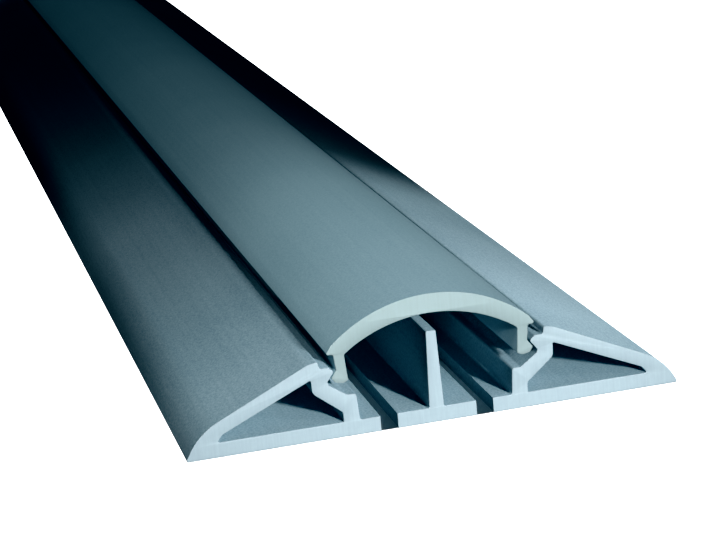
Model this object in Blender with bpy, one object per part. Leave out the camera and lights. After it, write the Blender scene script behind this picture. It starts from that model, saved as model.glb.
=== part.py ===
# Floor cable protector: a flat extruded base with two hollow ramps and two
# cable channels, and a domed snap-in lid. Metres, Z up, the stock runs along Y.
# The floor is Z 0, and X 0 is the middle of the divider.
import math

import bmesh
import bpy
from mathutils import Vector
from mathutils.geometry import tessellate_polygon

MM = 0.001

# Sizes in millimetres.
LENGTH = 1000.0
HALF_WIDTH = 50.0
FLOOR = 3.0

# The ramp's straight walking face, as height at a distance from the middle.
RAMP_X = 40.67
RAMP_Z = 8.33
RAMP_SLOPE = -0.459
# The same for the ceiling of the hollow under it.
HOLLOW_Z = 5.33
HOLLOW_SLOPE = -0.441

CREST_X = 22.9
CREST_Z = 15.95
LEDGE_Z = 14.42
LIP_X = 19.85
LIP_Z = 13.45
NOTCH_X = 21.35
NOTCH_Z = 11.45
WEB_IN = 15.5
WEB_OUT = 18.75
SHELF_Z = 8.35

DIVIDER_TOP = 18.6
DIVIDER_HALF_FOOT = 1.5
DIVIDER_HALF_TOP = 1.0

LID_TOP = 26.1
LID_OUTER_RADIUS = 30.5
LID_INNER_TOP = 22.24
LID_INNER_RADIUS = 30.0
LID_EDGE_X = 21.2
LID_EDGE_Z = 16.9
NECK_X = 19.35
BARB_X = 20.45
BARB_Z = 12.15
FOOT_Z = 10.85
LEG_IN_X = 17.25

SLOT_IN = 8.0
SLOT_OUT = 11.5
SLOT_LENGTH = 100.0
SLOT_PITCH = 250.0

ARC_STEP = math.radians(7.5)


def line_height(x, height, slope):
    return height + slope * (x - RAMP_X)


def corner_arc(before, corner, after, radius):
    """Points of the arc that rounds one corner of an outline."""
    back = (before - corner).normalized()
    onward = (after - corner).normalized()
    half = back.angle(onward) / 2
    turn = math.pi - 2 * half
    if radius <= 0 or turn < 0.01:
        return [corner]
    reach = radius / math.tan(half)
    middle = corner + (back + onward).normalized() * radius / math.sin(half)
    start = corner + back * reach - middle
    end = corner + onward * reach - middle
    steps = max(2, math.ceil(turn / ARC_STEP))
    sweep = start.angle_signed(end)
    points = []
    for step in range(steps + 1):
        angle = -sweep * step / steps
        x = start.x * math.cos(angle) - start.y * math.sin(angle)
        z = start.x * math.sin(angle) + start.y * math.cos(angle)
        points.append(middle + Vector((x, z)))
    return points


def rounded(corners):
    """Closed outline in which every corner (x, z, radius) is an arc."""
    spots = [Vector(corner[:2]) for corner in corners]
    outline = []
    for index, corner in enumerate(corners):
        before = spots[index - 1]
        after = spots[(index + 1) % len(spots)]
        outline += corner_arc(before, spots[index], after, corner[2])
    return outline


def both_sides(half):
    """Corners of the right half, then the same ones mirrored on the left."""
    return half + [(-x, z, radius) for x, z, radius in reversed(half)]


def dome(top, radius, x_from, x_to, steps):
    """Points of a round arch with its centre on the middle plane."""
    points = []
    for step in range(steps + 1):
        x = x_from + (x_to - x_from) * step / steps
        points.append((x, top - radius + math.sqrt(radius**2 - x**2), 0.0))
    return points


def base_outline():
    """Outside of the base: floor, ramp, crest, ledge, lip, web, channel."""
    brow_x = 47.5
    brow = (brow_x, line_height(brow_x, RAMP_Z, RAMP_SLOPE), 13.5)
    round_x = 25.0
    crest_round = (round_x, line_height(round_x, RAMP_Z, RAMP_SLOPE), 6.0)
    half = [
        (HALF_WIDTH, 0.0, 0.15),
        (HALF_WIDTH, 0.5, 0.2),
        brow,
        crest_round,
        (CREST_X, CREST_Z, 0.45),
        (CREST_X - 0.3, LEDGE_Z, 0.5),
        (LIP_X + 1.05, LEDGE_Z, 0.3),
        (LIP_X, LIP_Z, 0.4),
        (NOTCH_X, NOTCH_Z, 0.3),
        (NOTCH_X - 0.35, 10.75, 0.4),
        (WEB_IN + 2.1, SHELF_Z + 0.05, 0.8),
        (WEB_IN + 0.35, SHELF_Z, 0.5),
        (WEB_IN, FLOOR, 0.5),
        (DIVIDER_HALF_FOOT, FLOOR, 0.3),
        (DIVIDER_HALF_TOP, DIVIDER_TOP, 0.25),
    ]
    return rounded(both_sides(half))


def hollow_outline(side):
    """The empty space inside one ramp."""
    knee_x = 42.7
    top_x = 24.5
    corners = [
        (WEB_OUT, FLOOR, 0.25),
        (43.85, FLOOR, 0.12),
        (knee_x, line_height(knee_x, HOLLOW_Z, HOLLOW_SLOPE), 1.2),
        (top_x, line_height(top_x, HOLLOW_Z, HOLLOW_SLOPE), 0.3),
        (24.45, 9.65, 1.6),
        (WEB_OUT + 0.05, 5.05, 0.8),
    ]
    return rounded([(side * x, z, radius) for x, z, radius in corners])


def lid_outline():
    """The domed lid with its two barbed legs."""
    outside = dome(LID_TOP, LID_OUTER_RADIUS, 0.0, 20.0, 16)
    inside = dome(LID_INNER_TOP, LID_INNER_RADIUS, 16.0, 0.0, 12)
    leg = [
        (LID_EDGE_X, LID_EDGE_Z, 0.3),
        (NECK_X + 0.35, LID_EDGE_Z - 0.1, 0.35),
        (NECK_X, BARB_Z + 1.5, 0.25),
        (BARB_X, BARB_Z, 0.25),
        (BARB_X - 0.75, FOOT_Z + 0.3, 0.6),
        (LEG_IN_X + 0.9, FOOT_Z, 0.8),
        (LEG_IN_X - 0.1, FOOT_Z + 0.5, 0.3),
        (LEG_IN_X + 0.3, 16.55, 0.7),
    ]
    half = outside + leg + inside
    left = [(-x, z, radius) for x, z, radius in reversed(half[1:-1])]
    return rounded(half + left)


def plastic(name, colour, roughness):
    material = bpy.data.materials.new(name)
    material.use_nodes = True
    shader = material.node_tree.nodes["Principled BSDF"]
    shader.inputs["Base Color"].default_value = (*colour, 1.0)
    shader.inputs["Roughness"].default_value = roughness
    shader.inputs["IOR"].default_value = 1.54
    return material


def extruded(name, outline, holes, material):
    """One solid with a constant section, running the whole length."""
    loops = [outline] + holes
    ends = (-LENGTH / 2 * MM, LENGTH / 2 * MM)
    work = bmesh.new()
    rings = []
    for loop in loops:
        ring = [[work.verts.new((p.x * MM, y, p.y * MM)) for p in loop] for y in ends]
        rings.append(ring)
        for index in range(len(loop)):
            front = ring[0][index - 1], ring[0][index]
            back = ring[1][index], ring[1][index - 1]
            work.faces.new(front + back).smooth = True
    flat = [[Vector((p.x, p.y, 0.0)) for p in loop] for loop in loops]
    for end in (0, 1):
        corners = [vertex for ring in rings for vertex in ring[end]]
        for triangle in tessellate_polygon(flat):
            work.faces.new([corners[index] for index in triangle])
    bmesh.ops.recalc_face_normals(work, faces=work.faces)
    mesh = bpy.data.meshes.new(name)
    work.to_mesh(mesh)
    work.free()
    mesh.materials.append(material)
    mesh.set_sharp_from_angle(angle=math.radians(30.0))
    solid = bpy.data.objects.new(name, mesh)
    bpy.context.collection.objects.link(solid)
    return solid


def slot_cutter(name, side, middle):
    """A block with rounded ends that cuts one fixing slot in the floor."""
    half_width = (SLOT_OUT - SLOT_IN) / 2
    centre = side * (SLOT_IN + SLOT_OUT) / 2
    straight = SLOT_LENGTH / 2 - half_width
    steps = 12
    work = bmesh.new()
    bottom = []
    for end in (1, -1):
        for step in range(steps + 1):
            angle = math.pi * step / steps
            x = centre + end * half_width * math.cos(angle)
            y = middle + end * (straight + half_width * math.sin(angle))
            bottom.append(work.verts.new((x * MM, y * MM, -1.0 * MM)))
    face = work.faces.new(bottom)
    lift = bmesh.ops.extrude_face_region(work, geom=[face])
    raised = [item for item in lift["geom"] if isinstance(item, bmesh.types.BMVert)]
    bmesh.ops.translate(work, verts=raised, vec=(0.0, 0.0, (FLOOR + 2.0) * MM))
    bmesh.ops.recalc_face_normals(work, faces=work.faces)
    mesh = bpy.data.meshes.new(name)
    work.to_mesh(mesh)
    work.free()
    cutter = bpy.data.objects.new(name, mesh)
    cutter.hide_render = True
    cutter.display_type = "WIRE"
    bpy.context.collection.objects.link(cutter)
    return cutter


def cut_slots(base):
    """A row of slots in each channel, the end ones open at the cut ends."""
    count = round(LENGTH / SLOT_PITCH) + 1
    for side, label in ((-1, "left"), (1, "right")):
        for index in range(count):
            middle = -LENGTH / 2 + index * SLOT_PITCH
            cutter = slot_cutter(f"slot_{label}_{index + 1}", side, middle)
            cut = base.modifiers.new(cutter.name, "BOOLEAN")
            cut.operation = "DIFFERENCE"
            cut.solver = "EXACT"
            cut.object = cutter


def clear_scene():
    for item in list(bpy.data.objects):
        bpy.data.objects.remove(item, do_unlink=True)


def main():
    clear_scene()
    base_plastic = plastic("base_pvc", (0.235, 0.345, 0.39), 0.5)
    lid_plastic = plastic("lid_pvc", (0.225, 0.335, 0.37), 0.48)
    holes = [hollow_outline(1), hollow_outline(-1)]
    base = extruded("base", base_outline(), holes, base_plastic)
    cut_slots(base)
    extruded("lid", lid_outline(), [], lid_plastic)


main()
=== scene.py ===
import math

import bmesh
import bpy
from mathutils import Matrix, Vector
from mathutils.geometry import tessellate_polygon


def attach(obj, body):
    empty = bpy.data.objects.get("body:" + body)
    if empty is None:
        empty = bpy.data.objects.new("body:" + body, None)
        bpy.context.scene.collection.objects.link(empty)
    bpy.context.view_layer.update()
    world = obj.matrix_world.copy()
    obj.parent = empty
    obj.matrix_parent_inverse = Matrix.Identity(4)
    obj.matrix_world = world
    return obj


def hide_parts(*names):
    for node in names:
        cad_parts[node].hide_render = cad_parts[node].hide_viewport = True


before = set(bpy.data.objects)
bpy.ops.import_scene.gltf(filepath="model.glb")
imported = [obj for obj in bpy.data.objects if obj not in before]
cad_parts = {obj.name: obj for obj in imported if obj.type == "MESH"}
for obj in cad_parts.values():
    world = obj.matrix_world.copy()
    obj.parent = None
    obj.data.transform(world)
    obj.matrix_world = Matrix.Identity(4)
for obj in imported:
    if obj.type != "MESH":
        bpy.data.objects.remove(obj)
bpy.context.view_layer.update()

MM = 0.001

# The sizes of the solids, repeated from the part's source.
LENGTH = 1000.0
HALF_WIDTH = 50.0
FLOOR = 3.0
RAMP_X = 40.67
RAMP_Z = 8.33
RAMP_SLOPE = -0.459
HOLLOW_Z = 5.33
HOLLOW_SLOPE = -0.441
CREST_X = 22.9
CREST_Z = 15.95
LEDGE_Z = 14.42
LIP_X = 19.85
LIP_Z = 13.45
NOTCH_X = 21.35
NOTCH_Z = 11.45
WEB_IN = 15.5
WEB_OUT = 18.75
SHELF_Z = 8.35
DIVIDER_TOP = 18.6
DIVIDER_HALF_FOOT = 1.5
DIVIDER_HALF_TOP = 1.0
LID_TOP = 26.1
LID_OUTER_RADIUS = 30.5
LID_INNER_TOP = 22.24
LID_INNER_RADIUS = 30.0
LID_EDGE_X = 21.2
LID_EDGE_Z = 16.9
NECK_X = 19.35
BARB_X = 20.45
BARB_Z = 12.15
FOOT_Z = 10.85
LEG_IN_X = 17.25
SLOT_IN = 8.0
SLOT_OUT = 11.5
SLOT_LENGTH = 100.0
SLOT_PITCH = 250.0

# Finer than the solids: corners are drawn in small steps and none is sharper
# than the least corner, and the saw leaves a small rounded rim round each end.
ARC_STEP = math.radians(4.0)
LEAST_CORNER = 0.25
RIM = 0.12
# An outline that turns by less than this, in radians, needs no arc.
LEAST_TURN = 0.01
# Edges that turn by more than this stay sharp under smooth shading.
SHARP_ANGLE = math.radians(35.0)

# The camera's place in metres and its focal length in pixels of the frame.
CAMERA_PLACE = Vector((-0.10085, -0.89634, 0.14056))
CAMERA_FORWARD = Vector((0.2086, 0.9438, -0.2565))
CAMERA_RIGHT = Vector((0.9673, -0.2378, -0.0883))
FOCAL_PIXELS = 2198.5
FRAME_WIDTH_PIXELS = 716
SENSOR_WIDTH = 36.0

# Every soft lamp stands this far, in metres, from the point that it aims at.
LAMP_DISTANCE = 0.6


def line_height(x, height, slope):
    """Height at x of a straight slope whose height is given at RAMP_X."""
    return height + slope * (x - RAMP_X)


def corner_arc(before, corner, after, radius):
    """Points of the arc that rounds one corner of an outline."""
    back = (before - corner).normalized()
    onward = (after - corner).normalized()
    half = back.angle(onward) / 2
    turn = math.pi - 2 * half
    if radius <= 0 or turn < LEAST_TURN:
        return [corner]
    reach = radius / math.tan(half)
    middle = corner + (back + onward).normalized() * radius / math.sin(half)
    start = corner + back * reach - middle
    end = corner + onward * reach - middle
    steps = max(3, math.ceil(turn / ARC_STEP))
    sweep = start.angle_signed(end)
    points = []
    for step in range(steps + 1):
        angle = -sweep * step / steps
        x = start.x * math.cos(angle) - start.y * math.sin(angle)
        z = start.x * math.sin(angle) + start.y * math.cos(angle)
        points.append(middle + Vector((x, z)))
    return points


def rounded(corners):
    """Closed outline in which every corner (x, z, radius) is an arc."""
    spots = [Vector(corner[:2]) for corner in corners]
    outline = []
    for index, corner in enumerate(corners):
        before = spots[index - 1]
        after = spots[(index + 1) % len(spots)]
        radius = max(corner[2], LEAST_CORNER) if corner[2] > 0 else 0.0
        outline += corner_arc(before, spots[index], after, radius)
    return outline


def both_sides(half):
    """Corners of the right half, then the same ones mirrored on the left."""
    return half + [(-x, z, radius) for x, z, radius in reversed(half)]


def dome(top, radius, x_from, x_to, steps):
    """Points of a round arch with its centre on the middle plane."""
    points = []
    for step in range(steps + 1):
        x = x_from + (x_to - x_from) * step / steps
        points.append((x, top - radius + math.sqrt(radius**2 - x**2), 0.0))
    return points


def base_outline():
    """Outside of the base: floor, ramp, crest, ledge, lip, web, channel."""
    foot_z = 0.5
    brow_x = 47.5
    round_x = 25.0
    notch_foot_z = 10.75
    shelf_out = WEB_IN + 2.1
    shelf_in = WEB_IN + 0.35
    half = [
        (HALF_WIDTH, 0.0, 0.15),
        (HALF_WIDTH, foot_z, 0.2),
        (brow_x, line_height(brow_x, RAMP_Z, RAMP_SLOPE), 13.5),
        (round_x, line_height(round_x, RAMP_Z, RAMP_SLOPE), 6.0),
        (CREST_X, CREST_Z, 0.45),
        (CREST_X - 0.3, LEDGE_Z, 0.5),
        (LIP_X + 1.05, LEDGE_Z, 0.3),
        (LIP_X, LIP_Z, 0.4),
        (NOTCH_X, NOTCH_Z, 0.3),
        (NOTCH_X - 0.35, notch_foot_z, 0.4),
        (shelf_out, SHELF_Z + 0.05, 0.8),
        (shelf_in, SHELF_Z, 0.5),
        (WEB_IN, FLOOR, 0.5),
        (DIVIDER_HALF_FOOT, FLOOR, 0.3),
        (DIVIDER_HALF_TOP, DIVIDER_TOP, 0.25),
    ]
    return rounded(both_sides(half))


def hollow_outline(side):
    """The empty space inside one ramp."""
    toe_x = 43.85
    knee_x = 42.7
    top_x = 24.5
    shoulder_z = 9.65
    heel_z = 5.05
    corners = [
        (WEB_OUT, FLOOR, 0.25),
        (toe_x, FLOOR, 0.12),
        (knee_x, line_height(knee_x, HOLLOW_Z, HOLLOW_SLOPE), 1.2),
        (top_x, line_height(top_x, HOLLOW_Z, HOLLOW_SLOPE), 0.3),
        (top_x - 0.05, shoulder_z, 1.6),
        (WEB_OUT + 0.05, heel_z, 0.8),
    ]
    return rounded([(side * x, z, radius) for x, z, radius in corners])


def lid_outline():
    """The domed lid with its two barbed legs."""
    outer_x, outer_steps = 20.0, 32
    inner_x, inner_steps = 16.0, 24
    root_z = 16.55
    outside = dome(LID_TOP, LID_OUTER_RADIUS, 0.0, outer_x, outer_steps)
    inside = dome(LID_INNER_TOP, LID_INNER_RADIUS, inner_x, 0.0, inner_steps)
    leg = [
        (LID_EDGE_X, LID_EDGE_Z, 0.3),
        (NECK_X + 0.35, LID_EDGE_Z - 0.1, 0.35),
        (NECK_X, BARB_Z + 1.5, 0.25),
        (BARB_X, BARB_Z, 0.25),
        (BARB_X - 0.75, FOOT_Z + 0.3, 0.6),
        (LEG_IN_X + 0.9, FOOT_Z, 0.8),
        (LEG_IN_X - 0.1, FOOT_Z + 0.5, 0.3),
        (LEG_IN_X + 0.3, root_z, 0.7),
    ]
    half = outside + leg + inside
    left = [(-x, z, radius) for x, z, radius in reversed(half[1:-1])]
    return rounded(half + left)


def turned(outline, want_left):
    """The outline in the order that keeps the plastic on its left hand."""
    area = sum(a.x * b.y - b.x * a.y for a, b in zip(outline, outline[1:] + outline[:1]))
    return outline if (area > 0) == want_left else outline[::-1]


def drawn_in(outline, distance):
    """The outline moved a little way into the plastic on its left hand."""
    points = []
    for index, spot in enumerate(outline):
        along = (outline[(index + 1) % len(outline)] - outline[index - 1]).normalized()
        points.append(spot + Vector((-along.y, along.x)) * distance)
    return points


def sawn_strip(name, outline, holes, skin, cut):
    """A strip with a constant section, sawn off square with a small worn rim."""
    loops = [turned(outline, True)] + [turned(hole, False) for hole in holes]
    # The rim is a quarter round: how far in, and how far along, at each step.
    share = 1 - math.sqrt(0.5)
    steps = [(RIM, 0.0), (RIM * share, RIM * share), (0.0, RIM)]
    far = LENGTH / 2
    stations = [(inset, run - far) for inset, run in steps]
    stations += [(inset, far - run) for inset, run in reversed(steps)]
    work = bmesh.new()
    ends = ([], [])
    for loop in loops:
        rings = []
        for inset, y in stations:
            ring = drawn_in(loop, inset)
            rings.append([work.verts.new((p.x * MM, y * MM, p.y * MM)) for p in ring])
        for station in range(len(rings) - 1):
            near, next_one = rings[station], rings[station + 1]
            for index in range(len(loop)):
                corners = near[index - 1], near[index], next_one[index], next_one[index - 1]
                face = work.faces.new(corners)
                face.smooth = True
                # Only the long run between the two rims has the skin.
                face.material_index = 0 if station == len(steps) - 1 else 1
        ends[0].append(rings[0])
        ends[1].append(rings[-1])
    for end in ends:
        flat = [[Vector((v.co.x, v.co.z, 0.0)) for v in ring] for ring in end]
        corners = [vertex for ring in end for vertex in ring]
        for triangle in tessellate_polygon(flat):
            face = work.faces.new([corners[index] for index in triangle])
            face.material_index = 1
    bmesh.ops.recalc_face_normals(work, faces=work.faces)
    mesh = bpy.data.meshes.new(name)
    work.to_mesh(mesh)
    work.free()
    mesh.materials.append(skin)
    mesh.materials.append(cut)
    mesh.set_sharp_from_angle(angle=SHARP_ANGLE)
    strip = bpy.data.objects.new(name, mesh)
    bpy.context.collection.objects.link(strip)
    return strip


def slot_cutter(side, middle):
    """A block with rounded ends, as long as the milled slot it cuts."""
    half_width = (SLOT_OUT - SLOT_IN) / 2
    centre = side * (SLOT_IN + SLOT_OUT) / 2
    straight = SLOT_LENGTH / 2 - half_width
    spare = 1.0
    steps = 24
    work = bmesh.new()
    bottom = []
    for end in (1, -1):
        for step in range(steps + 1):
            angle = math.pi * step / steps
            x = centre + end * half_width * math.cos(angle)
            y = middle + end * (straight + half_width * math.sin(angle))
            bottom.append(work.verts.new((x * MM, y * MM, -spare * MM)))
    face = work.faces.new(bottom)
    lift = bmesh.ops.extrude_face_region(work, geom=[face])
    raised = [item for item in lift["geom"] if isinstance(item, bmesh.types.BMVert)]
    bmesh.ops.translate(work, verts=raised, vec=(0.0, 0.0, (FLOOR + 2 * spare) * MM))
    bmesh.ops.recalc_face_normals(work, faces=work.faces)
    mesh = bpy.data.meshes.new("slot_cutter")
    work.to_mesh(mesh)
    work.free()
    cutter = bpy.data.objects.new("slot_cutter", mesh)
    bpy.context.collection.objects.link(cutter)
    return cutter


def mill_slots(base):
    """The row of fixing slots in each channel, the end ones open at the cuts."""
    cutters = []
    for side in (-1, 1):
        for index in range(round(LENGTH / SLOT_PITCH) + 1):
            cutter = slot_cutter(side, -LENGTH / 2 + index * SLOT_PITCH)
            cut = base.modifiers.new("slot", "BOOLEAN")
            cut.operation = "DIFFERENCE"
            cut.solver = "EXACT"
            cut.object = cutter
            cutters.append(cutter)
    bpy.context.view_layer.update()
    seen = base.evaluated_get(bpy.context.evaluated_depsgraph_get())
    milled = bpy.data.meshes.new_from_object(seen)
    base.modifiers.clear()
    base.data = milled
    milled.set_sharp_from_angle(angle=SHARP_ANGLE)
    for cutter in cutters:
        bpy.data.objects.remove(cutter, do_unlink=True)


def linear(hex_colour):
    """An sRGB hex colour as the linear colour that the shader wants."""
    parts = [int(hex_colour[i:i + 2], 16) / 255 for i in (1, 3, 5)]
    lit = [p / 12.92 if p <= 0.04045 else ((p + 0.055) / 1.055) ** 2.4 for p in parts]
    return (*lit, 1.0)


def add(tree, kind, inputs=None, **settings):
    """Adds a node with its settings; inputs are values or sockets to link from."""
    node = tree.nodes.new(kind)
    for name, value in settings.items():
        setattr(node, name, value)
    for socket, value in (inputs or {}).items():
        if isinstance(value, bpy.types.NodeSocket):
            tree.links.new(value, node.inputs[socket])
        else:
            node.inputs[socket].default_value = value
    return node


def new_material(name):
    """A material for one finish, with its node tree still empty."""
    material = bpy.data.materials.new(name)
    material.use_nodes = True
    tree = material.node_tree
    tree.nodes.clear()
    return material, tree


def extruded_pvc(name, body_hex, deep_hex):
    """Rigid PVC, extruded: a matte skin with a fine even grain, and faint drag
    lines that the die leaves along it."""
    material, tree = new_material(name)
    place = add(tree, "ShaderNodeTexCoord").outputs["Object"]
    # A pattern's Scale is its features in a metre.
    # Drag lines: about 0.9 mm apart round the section and 300 mm long.
    along = add(tree, "ShaderNodeMapping", {"Vector": place, "Scale": (1.0, 0.003, 1.0)})
    drag = add(tree, "ShaderNodeTexNoise", {
        "Vector": along.outputs["Vector"], "Scale": 1100.0, "Detail": 2.0, "Roughness": 0.6})
    # Skin grain: the real one is about 0.1 mm, drawn 0.43 mm wide so it shows.
    grain = add(tree, "ShaderNodeTexNoise", {
        "Vector": place, "Scale": 2300.0, "Detail": 3.0, "Roughness": 0.65})
    # Slow change of shade where the melt cooled unevenly, 60 mm across.
    cloud = add(tree, "ShaderNodeTexNoise", {
        "Vector": place, "Scale": 17.0, "Detail": 2.0, "Roughness": 0.5})
    drag_share, grain_share, cloud_share = 0.1, 0.7, 0.2
    lines = add(tree, "ShaderNodeMath", {
        0: drag.outputs["Fac"], 1: drag_share, 2: 0.0}, operation="MULTIPLY_ADD")
    with_grain = add(tree, "ShaderNodeMath", {
        0: grain.outputs["Fac"], 1: grain_share, 2: lines.outputs[0]},
        operation="MULTIPLY_ADD")
    shade = add(tree, "ShaderNodeMath", {
        0: cloud.outputs["Fac"], 1: cloud_share, 2: with_grain.outputs[0]},
        operation="MULTIPLY_ADD")
    tint = add(tree, "ShaderNodeMapRange", {
        "Value": shade.outputs[0], "From Min": 0.34, "From Max": 0.66})
    colour = add(tree, "ShaderNodeMix", {
        "Factor": tint.outputs["Result"], 6: linear(deep_hex), 7: linear(body_hex)},
        data_type="RGBA")
    rough = add(tree, "ShaderNodeMapRange", {
        "Value": grain.outputs["Fac"], "From Min": 0.3, "From Max": 0.7,
        "To Min": 0.6, "To Max": 0.74})
    grain_bump = add(tree, "ShaderNodeBump", {
        "Height": grain.outputs["Fac"], "Strength": 0.35, "Distance": 0.04 * MM})
    drag_bump = add(tree, "ShaderNodeBump", {
        "Height": drag.outputs["Fac"], "Strength": 0.25, "Distance": 0.05 * MM,
        "Normal": grain_bump.outputs["Normal"]})
    shader = add(tree, "ShaderNodeBsdfPrincipled", {
        "Base Color": colour.outputs[2], "Roughness": rough.outputs["Result"],
        "IOR": 1.54, "Specular IOR Level": 0.25, "Normal": drag_bump.outputs["Normal"]})
    add(tree, "ShaderNodeOutputMaterial", {"Surface": shader.outputs["BSDF"]})
    return material


def saw_cut_pvc(name, face_hex, scored_hex):
    """Rigid PVC, saw-cut: the blade scores the face with fine upright marks and
    leaves it chalky and paler than the skin."""
    material, tree = new_material(name)
    place = add(tree, "ShaderNodeTexCoord").outputs["Object"]
    # Tooth marks: about 0.25 mm apart on the real cut, drawn 0.5 mm apart so
    # they show, and about 8 mm long. The stretch comes before the turn, so the
    # turn changes where the marks fall, and they stay upright.
    noise_turn = math.radians(62.0)
    upright = add(tree, "ShaderNodeMapping", {
        "Vector": place, "Rotation": (0.0, noise_turn, 0.0), "Scale": (1.0, 1.0, 0.06)})
    tooth = add(tree, "ShaderNodeTexNoise", {
        "Vector": upright.outputs["Vector"], "Scale": 2000.0, "Detail": 2.0, "Roughness": 0.6})
    # Chalky patches, about 2.4 mm across.
    chalk = add(tree, "ShaderNodeTexNoise", {
        "Vector": place, "Scale": 420.0, "Detail": 4.0, "Roughness": 0.6})
    tooth_share, chalk_share = 0.6, 0.4
    marks = add(tree, "ShaderNodeMath", {
        0: tooth.outputs["Fac"], 1: tooth_share, 2: 0.0}, operation="MULTIPLY_ADD")
    both = add(tree, "ShaderNodeMath", {
        0: chalk.outputs["Fac"], 1: chalk_share, 2: marks.outputs[0]},
        operation="MULTIPLY_ADD")
    tint = add(tree, "ShaderNodeMapRange", {
        "Value": both.outputs[0], "From Min": 0.36, "From Max": 0.62})
    colour = add(tree, "ShaderNodeMix", {
        "Factor": tint.outputs["Result"], 6: linear(scored_hex), 7: linear(face_hex)},
        data_type="RGBA")
    rough = add(tree, "ShaderNodeMapRange", {
        "Value": tooth.outputs["Fac"], "From Min": 0.3, "From Max": 0.7,
        "To Min": 0.62, "To Max": 0.8})
    bump = add(tree, "ShaderNodeBump", {
        "Height": tooth.outputs["Fac"], "Strength": 0.15, "Distance": 0.05 * MM})
    shader = add(tree, "ShaderNodeBsdfPrincipled", {
        "Base Color": colour.outputs[2], "Roughness": rough.outputs["Result"],
        "IOR": 1.54, "Normal": bump.outputs["Normal"]})
    add(tree, "ShaderNodeOutputMaterial", {"Surface": shader.outputs["BSDF"]})
    return material


def build_strips():
    """The two dressed strips, in place of the plain solids."""
    base_skin = extruded_pvc("base extruded PVC", "#98b3be", "#698592")
    base_cut = saw_cut_pvc("base saw-cut PVC", "#98afb8", "#90a6b0")
    lid_skin = extruded_pvc("lid extruded PVC", "#8ca8b2", "#76929d")
    lid_cut = saw_cut_pvc("lid saw-cut PVC", "#afcacd", "#a9c4c6")
    holes = [hollow_outline(1), hollow_outline(-1)]
    base = sawn_strip("base_strip", base_outline(), holes, base_skin, base_cut)
    mill_slots(base)
    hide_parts("base")
    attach(base, "base")
    lid = sawn_strip("lid_strip", lid_outline(), [], lid_skin, lid_cut)
    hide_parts("lid")
    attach(lid, "lid")
    return base, lid


def studio_floor():
    """A plain white floor, bright enough to stay white beside the strip."""
    reach = 12.0
    gap = 0.01 * MM
    signs = ((-1, -1), (1, -1), (1, 1), (-1, 1))
    corners = [(x * reach, y * reach, 0.0) for x, y in signs]
    mesh = bpy.data.meshes.new("studio_floor")
    mesh.from_pydata(corners, [], [(0, 1, 2, 3)])
    floor = bpy.data.objects.new("studio_floor", mesh)
    bpy.context.collection.objects.link(floor)
    floor.location.z = -gap
    material, tree = new_material("white studio paper")
    shader = add(tree, "ShaderNodeBsdfPrincipled", {
        "Base Color": linear("#e8ecee"), "Roughness": 0.9, "Specular IOR Level": 0.1,
        "Emission Color": (1.0, 1.0, 1.0, 1.0), "Emission Strength": 0.005})
    add(tree, "ShaderNodeOutputMaterial", {"Surface": shader.outputs["BSDF"]})
    mesh.materials.append(material)
    # It throws no light up at the strip and doesn't show in its gloss.
    floor.visible_diffuse = False
    floor.visible_glossy = False
    return floor


def aim_at(x, along, z):
    """A point in metres, from millimetres; along starts at the near cut end."""
    return Vector((x, along - LENGTH / 2, z)) * MM


def light_only(lamp, subject):
    """Keeps a lamp's light off everything but one subject."""
    lit = bpy.data.collections.new(lamp.name + "_subject")
    lit.objects.link(subject)
    lamp.light_linking.receiver_collection = lit


def soft_lamp(name, subject, aim, azimuth, elevation, cone, power, radius=0.05, hood=1.0):
    """A lamp that fades out towards its cone's rim. Azimuth 0 is straight in
    front of the near cut end, 90 is on the right; a high hood value fades more."""
    turn = math.radians(azimuth)
    climb = math.radians(elevation)
    level = math.cos(climb)
    away = Vector((level * math.sin(turn), -level * math.cos(turn), math.sin(climb)))
    light = bpy.data.lights.new(name, "SPOT")
    light.energy = power
    light.spot_size = math.radians(cone)
    light.spot_blend = hood
    light.shadow_soft_size = radius
    light.cycles.use_multiple_importance_sampling = False
    lamp = bpy.data.objects.new(name, light)
    lamp.location = aim + LAMP_DISTANCE * away
    lamp.rotation_mode = "QUATERNION"
    lamp.rotation_quaternion = (-away).to_track_quat("-Z", "Y")
    bpy.context.collection.objects.link(lamp)
    light_only(lamp, subject)


def overhead(name, subject, energy, hex_colour, lean, spread):
    """A distant overhead light that falls on one subject only."""
    light = bpy.data.lights.new(name, "SUN")
    light.energy = energy
    light.color = linear(hex_colour)[:3]
    light.angle = math.radians(spread)
    light.cycles.use_multiple_importance_sampling = False
    lamp = bpy.data.objects.new(name, light)
    lamp.rotation_euler.y = math.radians(lean)
    bpy.context.collection.objects.link(lamp)
    light_only(lamp, subject)


def light_base(base):
    """The base's lamps: two in front for the cut face, and the rest for the
    ramps and the left ledge, which fade to near black further along."""
    soft_lamp("low_front_lamp", base, aim_at(-6, 0, -20), azimuth=17, elevation=17,
              cone=22, power=24.0, radius=0.02)
    soft_lamp("front_lamp", base, aim_at(0, 0, 10), azimuth=35, elevation=34,
              cone=18, power=2.5)
    soft_lamp("left_end_lamp", base, aim_at(-42, 0, 8), azimuth=-92, elevation=6,
              cone=14, power=2.0)
    soft_lamp("left_ramp_lamp", base, aim_at(-42, 140, 0), azimuth=-92, elevation=1.5,
              cone=24, power=2.1)
    soft_lamp("ledge_lamp", base, aim_at(-21, -30, 14), azimuth=-90, elevation=66,
              cone=24, power=3.7)
    soft_lamp("right_ramp_lamp", base, aim_at(30, 79, 0), azimuth=90, elevation=35,
              cone=17.8, power=8.4, radius=0.03, hood=0.15)


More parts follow.
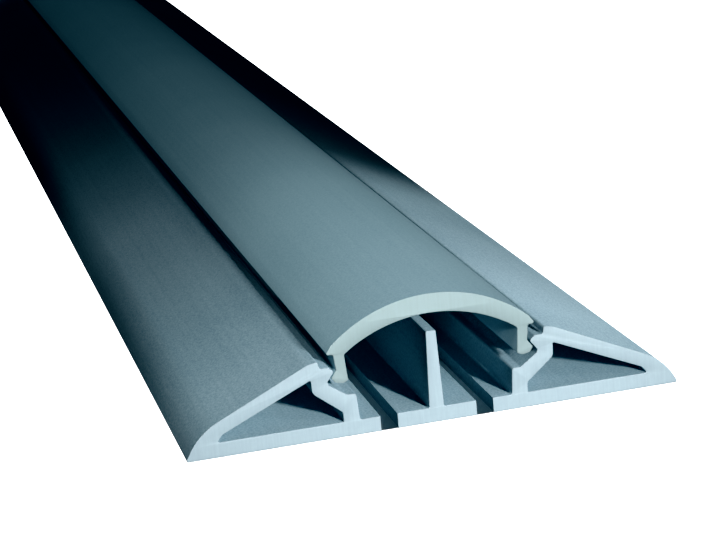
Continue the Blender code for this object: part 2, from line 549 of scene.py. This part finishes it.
def light_lid(lid):
    """The lid's lamps, which keep it lighter than the ramps further along."""
    near_end = aim_at(0, 0, 10)
    soft_lamp("lid_front_lamp", lid, near_end, azimuth=2, elevation=25,
              cone=30, power=13.8)
    soft_lamp("lid_left_lamp", lid, near_end, azimuth=-35, elevation=60,
              cone=30, power=4.0)
    soft_lamp("lid_right_lamp", lid, aim_at(10, 60, 20), azimuth=90, elevation=35,
              cone=24, power=3.0)


def light_far_end(subject, power):
    """One lamp behind the far cut end and a weaker one above the stretch in
    front of it, for the views from behind."""
    far_end = aim_at(0, LENGTH, 10)
    ahead_of_it = aim_at(0, LENGTH - 190, 10)
    soft_lamp(subject.name + "_far_lamp", subject, far_end, azimuth=160,
              elevation=45, cone=26, power=power)
    soft_lamp(subject.name + "_far_top_lamp", subject, ahead_of_it, azimuth=180,
              elevation=86, cone=30, power=power / 3, hood=0.5)


def light_studio(paper, base, lid):
    """The base and the lid have their own lamps, so that each gets its own fade
    into the dark, and the paper under them has one that keeps it white."""
    light_base(base)
    light_lid(lid)
    light_far_end(base, 17.0)
    light_far_end(lid, 14.0)
    cool_white = "#e6fbff"
    pure_white = "#ffffff"
    overhead("lid_light", lid, 0.37, cool_white, lean=-10.0, spread=20.0)
    overhead("base_light", base, 0.05, cool_white, lean=0.0, spread=20.0)
    overhead("paper_light", paper, 11.0, pure_white, lean=0.0, spread=2.0)
    dress_world()


def dress_world():
    """White behind the strip for the camera, a faint blue for everything else."""
    world = bpy.data.worlds.new("studio")
    bpy.context.scene.world = world
    world.use_nodes = True
    tree = world.node_tree
    tree.nodes.clear()
    ambient = add(tree, "ShaderNodeBackground", {"Color": linear("#8fb8c8"), "Strength": 0.004})
    white = add(tree, "ShaderNodeBackground", {"Color": (1.0, 1.0, 1.0, 1.0), "Strength": 1.0})
    path = add(tree, "ShaderNodeLightPath")
    mix = add(tree, "ShaderNodeMixShader", {
        0: path.outputs["Is Camera Ray"], 1: ambient.outputs[0], 2: white.outputs[0]})
    add(tree, "ShaderNodeOutputWorld", {"Surface": mix.outputs[0]})


def print_contrast():
    """Tones of a contrasty print: the shadows sink to a teal black."""
    view = bpy.context.scene.view_settings
    view.view_transform = "Standard"
    view.use_curve_mapping = True
    # Knots of each curve, from the shadows up: light before and light after.
    red = ((0.0126, 0.0), (0.0252, 0.0031), (0.0441, 0.0159),
           (0.0756, 0.0505), (0.16, 0.145), (0.35, 0.355))
    green = ((0.01, 0.001), (0.02, 0.005), (0.04, 0.02), (0.07, 0.048),
             (0.12, 0.105), (0.2, 0.195), (0.3, 0.3))
    blue = ((0.0119, 0.0045), (0.0238, 0.0103), (0.0476, 0.031),
            (0.0833, 0.0665), (0.143, 0.134), (0.25, 0.25))
    for curve, knots in zip(view.curve_mapping.curves, (red, green, blue)):
        for before, after in knots:
            curve.points.new(before, after)
    view.curve_mapping.update()


def place_camera():
    """The photograph's viewpoint: low, from the left of the near cut end."""
    forward = CAMERA_FORWARD.normalized()
    right = (CAMERA_RIGHT - forward * CAMERA_RIGHT.dot(forward)).normalized()
    up = right.cross(forward)
    lens = bpy.data.cameras.new("camera")
    lens.sensor_width = SENSOR_WIDTH
    lens.lens = FOCAL_PIXELS / FRAME_WIDTH_PIXELS * SENSOR_WIDTH
    lens.clip_start = 0.01
    lens.clip_end = 60.0
    camera = bpy.data.objects.new("camera", lens)
    axes = Matrix((right, up, -forward)).transposed().to_4x4()
    camera.matrix_world = Matrix.Translation(CAMERA_PLACE) @ axes
    bpy.context.collection.objects.link(camera)
    bpy.context.scene.camera = camera


base_strip, lid_strip = build_strips()
light_studio(studio_floor(), base_strip, lid_strip)
place_camera()
print_contrast()
